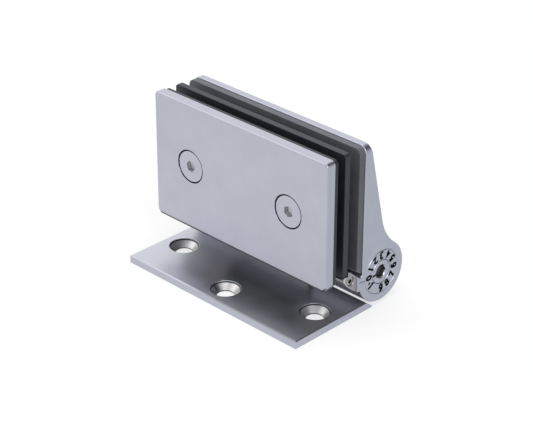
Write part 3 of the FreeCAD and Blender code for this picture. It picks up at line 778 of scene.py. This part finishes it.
@dataclass
class Assembly:
    """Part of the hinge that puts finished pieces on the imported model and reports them."""

    count: int = 0  # Pieces that are dressed.

    def put(self, piece: Piece, body: Body, slot: Slot, finish: Finish, *nodes: str,
            regions: Sequence[Region] = ()) -> None:
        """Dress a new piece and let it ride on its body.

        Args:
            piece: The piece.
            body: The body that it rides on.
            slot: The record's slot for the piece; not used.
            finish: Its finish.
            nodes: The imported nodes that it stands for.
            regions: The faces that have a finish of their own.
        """
        piece.data.materials.clear()
        piece.data.materials.append(finish.material())
        for number, region in enumerate(regions, start=1):
            piece.data.materials.append(region.finish.material())
            for face in piece.data.polygons:
                if region.holds(face.center / MM, face.normal):
                    face.material_index = number
        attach(piece, body.value)
        if nodes:
            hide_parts(*nodes)
        self.count += 1
        LOG.info("%s rides on %s", piece.name, body.value)

    def dress(self, finish: Finish, *nodes: str) -> None:
        """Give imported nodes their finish.

        Args:
            finish: The finish.
            nodes: The nodes, which keep their shapes.
        """
        for name in nodes:
            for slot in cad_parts[name].material_slots:
                slot.material = finish.material()
            self.count += 1
            LOG.info("%s keeps its packed shape", name)


def from_axis(place: Vector) -> float:
    """Give a place's distance from the hinge line."""
    return math.dist(place.yz, AXIS)


@dataclass
class WallLeaf(Assembly):
    """Wall plate with its knuckle, and what sits in the knuckle."""

    edge: float = 0.11  # Width of the plate's soft edges.
    top: float = 4.0  # Height of its upper face.
    sink: float = 7.2
    sink_edge: float = 0.26  # Width of the rounded edge at their mouths.

    def from_hole(self, place: Vector, hole: Point) -> float:
        """Give a place's distance from the axis of a hole."""
        return math.dist((abs(place.x), place.y), hole)

    def is_mouth(self, place: Vector) -> bool:
        """Pick the corners at the mouths of the countersinks."""
        reach = min(self.from_hole(place, hole) for hole in (SIDE_HOLE, MIDDLE_HOLE))
        return place.z > self.top - 0.1 and abs(reach - self.sink) < 0.2

    def in_sink(self, place: Vector, hole: Point) -> bool:
        """Say whether a place lies in a hole's countersink."""
        return self.from_hole(place, hole) < self.sink + 0.1 and place.z < self.top - 0.22

    def on_rim(self, place: Vector, normal: Vector) -> bool:
        """Say whether a face is an upright wall above or below a countersink's cone."""
        return abs(normal.z) < 0.45 and (self.in_sink(place, SIDE_HOLE) or self.in_sink(place, MIDDLE_HOLE))

    def build(self) -> None:
        """Build and dress the wall leaf."""
        mouths = WornEdge(self.is_mouth, self.sink_edge)
        plate = refine("wall_plate", "wall_plate_casting", self.edge, (mouths,))
        faces = (
            # Painted light: the plate's top face takes the lighter copy of the steel, with the painted
            # reflection tint under the clamp leaf.
            Region(WALL, lambda place, normal: normal.z > 0.9 and -0.2 < place.z - self.top < 0.1),
            # Painted shade on the front chamfer, darker towards the right.
            Region(WALL_EDGE_PAINTED_SHADE, lambda place, normal: normal.y < -0.5 < 0.5 < normal.z and place.y < -24),
            Region(SINK_SIDES, lambda place, normal: self.in_sink(place, SIDE_HOLE)),
            Region(SINK_MIDDLE, lambda place, normal: self.in_sink(place, MIDDLE_HOLE)),
            # Painted shade on the countersinks' upright walls.
            Region(SINK_RIM_PAINTED_SHADE, self.on_rim),
        )
        self.put(plate, Body.WALL, Slot.SATIN, CASTING, "wall_plate", regions=faces)
        self.dress(BUSH, "left_bush", "right_bush")
        self.dress(INNER, "spring_anchor")
        self.dress(SPRING, "torsion_spring")
        self.dress(SCREW, "anchor_screw")


@dataclass
class ClampLeaf(Assembly):
    """Hinge body, front plate and the layers that hold the glass."""

    edge: float = 0.18  # Width of the castings' soft edges.
    screw_face: float = -5.7
    screw_tip: float = 31.7  # How far a screw reaches behind its head's face.
    head_radius: float = 7.67
    head_rim: float = 0.4  # Height of the head's rim, where its cone begins.
    shank_radius: float = 3.95
    key: float = 4.9  # Width of a socket across its flats.
    key_depth: float = 2.6
    turns: Point = (50.0, 26.0)  # Turn of each socket in degrees, left then right.
    tip_edge: float = 0.75  # Width of the rounded edges at the lug's tip.
    bore: float = 11.0  # Radius of the barrel's mouths.
    bore_chamfer: float = 0.24  # Width of the chamfer at the right one.
    foot: float = 22.0  # Height from which the front plate's lower chamfer is drawn down.
    foot_stretch: float = 1.25  # How far it is drawn down, as a share of its distance from there.
    cap: Point = (-52.0, -55.0)  # Place of the end cap's inner side and of its face.
    lug_thread: Point = (1.97, 8.0)  # Radius and length of the lug screw.
    lug_key: Point = (2.2, 1.6)  # Width and depth of its socket.

    def from_screw(self, place: Vector) -> float:
        """Give a place's distance from the axis of a clamp screw."""
        return math.dist((abs(place.x), place.z), CLAMPS)

    def is_lug_tip(self, place: Vector) -> bool:
        """Pick the corners round the lug's tip on both end faces."""
        return abs(place.x) > 54.3 and place.y < 9.2 and 16 < place.z < 22.6

    def on_lug_tip(self, place: Vector, normal: Vector) -> bool:
        """Say whether a face belongs to the rounded edges at the lug's tip."""
        return self.is_lug_tip(place) and 0.15 < abs(normal.x) < 0.97

    def is_bore_mouth(self, place: Vector) -> bool:
        """Pick the corners of the barrel's right mouth."""
        return place.x > 54.9 and abs(from_axis(place) - self.bore) < 0.1

    def in_key(self, place: Vector, normal: Vector) -> bool:
        """Say whether a face lies in a clamp screw's socket."""
        return self.from_screw(place) < 3.1 and 0.04 < place.y - self.screw_face < 5

    def in_mouth(self, place: Vector, normal: Vector) -> bool:
        """Say whether a face lies in the gap round a clamp screw's head."""
        return 3.5 < self.from_screw(place) < 8.4 and place.y > self.screw_face + 0.02

    def build_screw(self, name: str, side: int, turn: float) -> Piece:
        """Turn one clamp screw and cut its socket.

        Args:
            name: The piece's name.
            side: 1 for the right screw and -1 for the left one.
            turn: The socket's turn in degrees.

        Returns:
            The screw.
        """
        cone = self.shank_radius - self.head_radius - self.head_rim
        middle = (side * CLAMPS[0], self.screw_face, CLAMPS[1])
        screw = lathe(name, (
            Corner(0, 0),
            Corner(0, self.head_radius, 0.12),
            Corner(-self.head_rim, self.head_radius, 0.1),
            Corner(cone, self.shank_radius, 0.3),
            Corner(0.5 - self.screw_tip, self.shank_radius, 0.1),
            Corner(-self.screw_tip, self.shank_radius - 0.5, 0.1),
            Corner(-self.screw_tip, 0),
        ), Facing.FRONT, middle)
        return carve(screw, (key_cutter(self.key, self.key_depth, 0.1, turn, Facing.FRONT, middle),), 0.05)

    def build_layers(self) -> None:
        """Build the gaskets and the packing plate between the plates."""
        front = Sheet("front_gasket_sheet", 54.5, 21.8, 84.3, -1.0, 2.4, corner=2.2, edge=0.2)
        packing = Sheet("packing_sheet", 54.0, 22.7, 84.5, 6.5, 3.3, corner=1.7, edge=0.25)
        rear = Sheet("rear_gasket_sheet", 54.4, 22.7, 84.2, 15.5, 3.5, corner=3.0, edge=0.25, relief=2.6,
                     lean=2.2)
        self.put(front.build(), Body.CLAMP, Slot.GASKET, GASKET, "front_gasket")
        self.put(packing.build(), Body.CLAMP, Slot.PACKING, PACKING, "packing_plate")
        slope = rear.lean / rear.thickness
        # Painted highlight along the rear gasket's lower edge.
        lip = Region(GASKET_LIP_PAINTED_HIGHLIGHT, lambda place, normal: place.z + slope * (place.y - rear.near) < 22.98)
        self.put(rear.build(), Body.CLAMP, Slot.GASKET, LIGHT_GASKET, "rear_gasket", regions=(lip,))

    def build_end_cap(self) -> Piece:
        """Turn the cap in the barrel's left end.

        Returns:
            The cap.
        """
        inner, face = self.cap
        return lathe("end_cap_turned", (
            Corner(inner, 0),
            Corner(face, 0),
            Corner(face, self.bore - 0.1, 0.3),
            Corner(inner, self.bore - 0.02, 0.1),
        ), Facing.RIGHT, (0, *AXIS))

    def build_lug_screw(self) -> Piece:
        """Turn the headless screw in the lug and cut its socket.

        Returns:
            The screw.
        """
        radius, length = self.lug_thread
        screw = lathe("lug_screw_turned", (
            Corner(0, 0), Corner(0, radius, 0.3), Corner(-length, radius, 0.3), Corner(-length, 0),
        ), Facing.RIGHT, LUG_FACE, 64)
        return carve(screw, (key_cutter(*self.lug_key, 0.4, 10, Facing.RIGHT, LUG_FACE),), 0.05)

    def build(self) -> None:
        """Build and dress the clamp leaf."""
        worn = (WornEdge(self.is_lug_tip, self.tip_edge), WornEdge(self.is_bore_mouth, self.bore_chamfer, 1))
        casting = refine("hinge_body", "hinge_body_casting", self.edge, worn)
        lug = Region(LUG, lambda place, normal: place.y < 15.4 and place.z < 24.7)
        # Painted highlight on the rounded edges at the lug's tip.
        tip = Region(LUG_TIP_PAINTED_HIGHLIGHT, self.on_lug_tip)
        self.put(casting, Body.CLAMP, Slot.SATIN, CASTING, "hinge_body", regions=(lug, tip))
        plate = refine("front_plate", "front_plate_satin", self.edge)
        for vertex in plate.data.vertices:
            vertex.co.z -= max(0.0, self.foot * MM - vertex.co.z) * self.foot_stretch
        # Painted shade in the gap round the clamp screws' heads.
        gap_shade = Region(SCREW_GAP_PAINTED_SHADE, self.in_mouth)
        # Painted shade on the front plate's lower chamfer.
        foot_painted_shade = Region(FOOT_EDGE_PAINTED_SHADE, lambda place, normal: -0.96 < normal.z < -0.08 and normal.y < -0.2)
        self.put(plate, Body.CLAMP, Slot.SATIN, PLATE, "front_plate", regions=(gap_shade, foot_painted_shade))
        self.build_layers()
        walls = Region(KEY, self.in_key)
        # Painted light on the floor of each clamp screw's socket.
        floor = Region(KEY_FLOOR_PAINTED_LIGHT, lambda place, normal: self.in_key(place, normal) and normal.y < -0.9)
        for name, side, turn in zip(("clamp_screw_left", "clamp_screw_right"), (-1, 1), self.turns):
            screw = self.build_screw(name, side, turn)
            faces = (gap_shade, walls, floor)
            self.put(screw, Body.CLAMP, Slot.SCREW, SCREW, "clamp_screws", regions=faces)
        self.put(self.build_end_cap(), Body.CLAMP, Slot.DIAL, DIAL, "end_cap")
        # Painted shade in the lug screw's socket.
        socket = Region(KEY_SOCKET_PAINTED_SHADE, lambda place, normal: math.dist(place.yz, LUG_FACE[1:]) < 1.2)
        self.put(self.build_lug_screw(), Body.CLAMP, Slot.SCREW, LUG_SCREW, "lug_screw", regions=(socket,))
        self.dress(SLEEVE, "screw_sleeves")
        self.dress(INNER, "left_pivot", "right_pivot", "friction_washer")


Stroke = tuple[Point | Bow, ...]

SIX: tuple[Stroke, ...] = (
    (Bow((0.1, 0.3), (0.82, 1.0), 42, 180), (-0.72, -0.5)),
    (Bow((0.0, -0.52), (0.72, 0.78), 0, 360),),
)
DIGITS: dict[str, tuple[Stroke, ...]] = {
    "0": ((Bow((0.0, 0.0), (0.74, 1.3), 0, 360),),),
    "1": (((-0.5, 0.72), (0.14, 1.3), (0.14, -1.65)),),
    "2": ((Bow((0.0, 0.58), (0.72, 0.72), 165, -22), (-0.72, -1.3), (1.0, -1.3)),),
    "3": (
        (Bow((-0.04, 0.66), (0.68, 0.64), 152, -90),),
        (Bow((-0.04, -0.62), (0.76, 0.68), 90, -152),),
    ),
    "4": (((0.32, -1.65), (0.32, 1.2), (-0.78, -0.52), (1.0, -0.52)),),
    "5": (((0.85, 1.3), (-0.48, 1.3), (-0.62, 0.12), Bow((-0.02, -0.45), (0.76, 0.85), 128, -152)),),
    "6": SIX,
    "7": (((-0.95, 1.3), (0.72, 1.3), Bow((1.0, -1.65), (1.15, 2.4), 118, 180)),),
    "8": (
        (Bow((0.0, 0.68), (0.62, 0.62), 0, 360),),
        (Bow((0.0, -0.62), (0.74, 0.68), 0, 360),),
    ),
    "9": SIX,
    "-": (((-0.42, -0.1), (0.42, -0.1)),),
}


@dataclass
class Dial(Assembly):
    """Number ring, hub and arbor of the tension dial."""

    face: float = 55.0
    ring: Point = (6.04, 10.94)  # Inner and outer radius of the ring.
    ring_back: float = 52.0
    hub_face: float = 54.9
    hub: Point = (5.9, 10.0)  # Radius of the hub's face and of its flange.
    flange: Point = (46.8, 51.9)  # Places of the flange's back and front.
    key: float = 6.0
    key_depth: float = 3.2
    chamfer: float = 0.22  # Width of the chamfers at the seams.
    number_radius: float = 8.5  # Distance of the numbers' middles from the axis.
    number_scale: float = 1.2  # Size of the numbers against their drawing.
    stroke: float = 0.94
    ink: float = 0.015  # Height of the paint over the steel.

    def build_ring(self) -> Piece:
        """Turn the ring that carries the numbers.

        Returns:
            The ring.
        """
        inner, outer = self.ring
        return lathe("dial_ring_turned", (
            Corner(self.ring_back, inner, 0.1),
            Corner(self.face - self.chamfer, inner, 0.04),
            Corner(self.face, inner + self.chamfer, 0.04),
            Corner(self.face, outer - self.chamfer, 0.04),
            Corner(self.face - self.chamfer, outer, 0.04),
            Corner(self.ring_back, outer + 0.02, 0.1),
        ), Facing.RIGHT, (0, *AXIS), 160)

    def build_hub(self) -> Piece:
        """Turn the hub and cut its key socket.

        Returns:
            The hub.
        """
        radius, wide = self.hub
        back, front = self.flange
        hub = lathe("dial_hub_turned", (
            Corner(back, 0),
            Corner(self.hub_face, 0),
            Corner(self.hub_face, radius - self.chamfer, 0.04),
            Corner(self.hub_face - self.chamfer, radius, 0.04),
            Corner(front, radius + 0.02, 0.1),
            Corner(front, wide, 0.2),
            Corner(back, wide, 0.2),
        ), Facing.RIGHT, (0, *AXIS), 160)
        centre = (self.hub_face, *AXIS)
        socket = key_cutter(self.key, self.key_depth, 0.7, 0, Facing.RIGHT, centre)
        mouth = lathe("mouth", (
            Corner(0.5, 0), Corner(0.5, 4.2), Corner(-0.75, 2.95), Corner(-0.75, 0),
        ), Facing.RIGHT, centre, 96)
        return carve(hub, (socket, mouth), 0.07)

    def in_key(self, place: Vector, normal: Vector) -> bool:
        """Say whether a face lies in the hub's socket, behind its chamfer."""
        return from_axis(place) < 3.5 and place.x > 50.5 and (normal.x < 0.3 or place.x < self.hub_face - 0.9)

    def draw_stroke(self, draft: Draft, stroke: Stroke, width: float, place: Matrix) -> None:
        """Lay one broad stroke of paint.

        Args:
            draft: The draft that it is added to.
            stroke: Its corners and bows.
            width: Its width.
            place: The matrix from the stroke's own plane to the hinge, in millimetres.
        """
        line: list[Vector] = []
        for item in stroke:
            for point in item.points() if isinstance(item, Bow) else (item,):
                if not line or (Vector(point) - line[-1]).length > 1e-3:
                    line.append(Vector(point))
        closed = (line[0] - line[-1]).length < 1e-3
        if closed:
            line.pop()
        sections = []
        for index, here in enumerate(line):
            before = line[index - 1] if closed or index else here
            after = line[(index + 1) % len(line)] if closed or index + 1 < len(line) else here
            ways = [way.normalized() for way in (here - before, after - here) if way.length > 1e-6]
            mitre = sum((Vector((-way.y, way.x)) for way in ways), Vector((0, 0))).normalized()
            spread = max(0.55, abs(mitre.dot(Vector((-ways[0].y, ways[0].x)))))
            side = mitre * (width / 2 / spread)
            corners = ((here + side, 1), (here - side, 1), (here - side, -1), (here + side, -1))
            spots = (Vector((*at, self.ink * up)) for at, up in corners)
            sections.append([draft.verts.new(place @ spot * MM) for spot in spots])
        if not closed:
            draft.faces.new(sections[0])
            draft.faces.new(reversed(sections[-1]))
        bridge(draft, sections, closed)

    def build_numbers(self) -> Piece:
        """Write the numbers round the ring as one piece, their tops towards the axis.

        Returns:
            The numbers.
        """
        draft = bmesh.new()
        for number in range(-1, 10):
            turn = math.radians(180 - 30 * number)
            outward = Vector((0, math.cos(turn), math.sin(turn)))
            reading = Vector((1, 0, 0)).cross(outward)
            centre = Vector((self.face, *AXIS)) + outward * self.number_radius
            upright = Matrix((reading, -outward, (1, 0, 0))).transposed().to_4x4()
            size = Matrix.Diagonal((self.number_scale, self.number_scale, 1.0, 1.0))
            place = Matrix.Translation(centre) @ upright @ size
            width = self.stroke
            if number < 0:
                minus = place @ Matrix.Translation((-1.15, 0, 0))
                width *= 1.2
                self.draw_stroke(draft, DIGITS["-"][0], width, minus)
                place = place @ Matrix.Translation((0.4, 0, 0))
            elif number == 9:
                place = place @ Matrix.Rotation(math.pi, 4, "Z")
            for stroke in DIGITS[str(abs(number))]:
                self.draw_stroke(draft, stroke, width, place)
        return finish_mesh(settle(draft), "dial_numbers")

    def draw_line(self, name: str, start: Point, end: Point, width: float, face: float,
                  dip: float = 0.0) -> Piece:
        """Paint a straight line on a face that looks right.

        Args:
            name: The piece's name.
            start: Its start as a place along Y and Z.
            end: Its end.
            width: Its width.
            face: The place of the face.
            dip: How far it runs on down a chamfer.

        Returns:
            The line.
        """
        draft = bmesh.new()
        self.draw_stroke(draft, (start, end), width, Facing.RIGHT.at((face, 0, 0)))
        if dip:
            slope = Facing.RIGHT.at((face + self.ink, *end)) @ Matrix.Rotation(math.pi / 4, 4, "Y")
            self.draw_stroke(draft, ((0.0, 0.0), (dip, 0.0)), width, slope)
        return finish_mesh(settle(draft), name)

    def build(self) -> None:
        """Build and dress the dial."""
        self.put(self.build_ring(), Body.CLAMP, Slot.DIAL, DIAL, "dial_ring")
        self.put(self.build_numbers(), Body.CLAMP, Slot.DIAL, INK)
        # Painted shade in the hub's key socket.
        key = Region(KEY_SOCKET_PAINTED_SHADE, self.in_key)
        self.put(self.build_hub(), Body.DIAL, Slot.DIAL, DIAL, "dial_hub", regions=(key,))
        mark = self.draw_line("hub_mark", (26.2, 15.9), (28.28, 16.1), 1.05, self.hub_face, 0.75)
        self.put(mark, Body.DIAL, Slot.DIAL, INK)
        index = self.draw_line("index_line", (16.9, 16.5), (20.9, 16.1), 0.34, self.face)
        self.put(index, Body.CLAMP, Slot.DIAL, INDEX)
        self.dress(INNER, "spring_arbor")


# Studio


@dataclass(frozen=True)
class Lamp:
    """Square lamp that looks at the hinge, in metres and watts."""

    name: str
    place: Triple
    size: float
    power: float
    aim: Triple = (0.0, 0.0, 0.04)

    def hang(self) -> None:
        """Hang the lamp."""
        data = bpy.data.lights.new(self.name, "AREA")
        data.size = self.size
        data.energy = self.power
        lamp = link(self.name, data)
        lamp.rotation_euler = (Vector(self.aim) - Vector(self.place)).to_track_quat("-Z", "Y").to_euler()
        lamp.location = self.place


LAMPS = (
    Lamp("key_lamp", (-0.8, 0.82, 0.62), 1.6, 3.0),
    Lamp("fill_lamp", (-0.8, -0.62, 0.82), 1.0, 2.4),
    Lamp("dial_lamp", (0.93, -0.43, 0.62), 0.4, 2.6),
    Lamp("top_lamp", (0.1, -0.05, 1.5), 1.0, 6.0),
)


@dataclass
class Studio:
    """Pale floor, white surroundings, soft lamps and the camera."""

    lens: float = 119.17  # Focal length on a 36 mm sensor.
    camera_place: Triple = (508.07, -505.26, 424.35)
    angles: Triple = (44.449, 61.69, 0.18)  # Its heading, tilt from straight down and roll in degrees.
    floor_grey: float = 0.5  # Brightness of the floor's paint.
    floor_glow: float = 0.61  # Light that the floor shows in view.
    floor_far: Triple = (0.65, 0.705, 0.72)  # Tint of its reflection at the rear right: painted shade that darkens the hinge's end faces.
    floor_fade: Point = (-0.02, 0.16)  # Sums of X and Y in metres where the painted shade sets in and holds.
    card: Triple = (0.474, 0.6285, 0.6165)  # The direction of the dark card.
    card_edge: Point = (0.86, 0.95)  # Cosines of the angles from there where it ends and holds.
    card_dark: float = 0.96  # How dark it is.
    ambient: float = 0.5  # Light that the surroundings give, where 1 is white.

    def build_camera(self) -> None:
        """Set the camera at the photograph's viewing angle."""
        data = bpy.data.cameras.new("camera")
        data.lens = self.lens
        data.sensor_width = 36.0
        data.clip_start = 0.01
        camera = link("camera", data)
        camera.matrix_world = Matrix.Translation(Vector(self.camera_place) * MM)
        for angle, axis in zip(self.angles, "ZXZ"):
            camera.matrix_world @= Matrix.Rotation(math.radians(angle), 4, axis)
        bpy.context.scene.camera = camera

    def seen(self, nodes: Nodes) -> Socket:
        """Give 1 for camera, glossy and transmission rays, and 0 for the others."""
        direct = nodes.math("MAXIMUM", nodes.ray("Camera"), nodes.ray("Glossy"))
        return nodes.math("MAXIMUM", direct, nodes.ray("Transmission"))

    def build_floor(self) -> None:
        """Lay a wide pale floor that stays white in view and keeps the hinge's shadow, with painted shade in
        its reflection at the rear right.
        """
        draft = bmesh.new()
        bmesh.ops.create_grid(draft, x_segments=8, y_segments=8, size=4.0)
        floor = link("floor", settle(draft, Matrix.Translation((0, 0, -0.00002))))
        nodes = Nodes("floor_white")
        paint = nodes.add("BsdfDiffuse", Color=even(self.floor_grey))
        # Painted shade: glossy rays see the floor darker and tinted towards the rear right.
        far = nodes.ramp(nodes.rear_right(), *self.floor_fade)
        far.node.interpolation_type = "SMOOTHSTEP"
        tint = nodes.blend(nodes.math("MULTIPLY", far, nodes.ray("Glossy")), even(1.0), self.floor_far)
        strength = nodes.math("MULTIPLY", self.seen(nodes), self.floor_glow)
        glow = nodes.add("Emission", Color=tint, Strength=strength)
        both = nodes.add("AddShader")
        nodes.feed(both.inputs[0], paint.outputs[0])
        nodes.feed(both.inputs[1], glow.outputs[0])
        floor.data.materials.append(nodes.finish(both))

    def build_world(self) -> None:
        """Surround the hinge with white and one dark card, at a plain level for the light that they give."""
        world = bpy.data.worlds.new("surroundings")
        bpy.context.scene.world = world
        world.use_nodes = True
        nodes = Nodes("surroundings", world.node_tree)
        towards = nodes.add("VectorMath")
        towards.operation = "DOT_PRODUCT"
        nodes.feed(towards.inputs[0], nodes.add("TexCoord").outputs["Generated"])
        nodes.feed(towards.inputs[1], self.card)
        near_card = nodes.ramp(towards.outputs["Value"], *self.card_edge)
        card = nodes.math("MULTIPLY", near_card, nodes.ray("Glossy"))
        white = nodes.math("ADD", nodes.math("MULTIPLY", self.seen(nodes), 1 - self.ambient), self.ambient)
        strength = nodes.math("SUBTRACT", white, nodes.math("MULTIPLY", card, self.card_dark))
        background = nodes.add("Background", Strength=strength)
        nodes.add("OutputWorld", Surface=background.outputs[0])

    def build(self) -> None:
        """Build the studio."""
        self.build_camera()
        self.build_floor()
        self.build_world()
        for lamp in LAMPS:
            lamp.hang()
        bpy.context.scene.view_settings.view_transform = "Standard"
        LOG.info("studio is lit")


def main() -> None:
    """Build the hinge's sub-assemblies and the studio in order."""
    logging.basicConfig(level=logging.INFO, format="%(name)s: %(message)s")
    assemblies = (WallLeaf(), ClampLeaf(), Dial())
    for assembly in assemblies:
        assembly.build()
    Studio().build()
    LOG.info("%d pieces dressed", sum(assembly.count for assembly in assemblies))


if __name__ == "__main__":
    main()
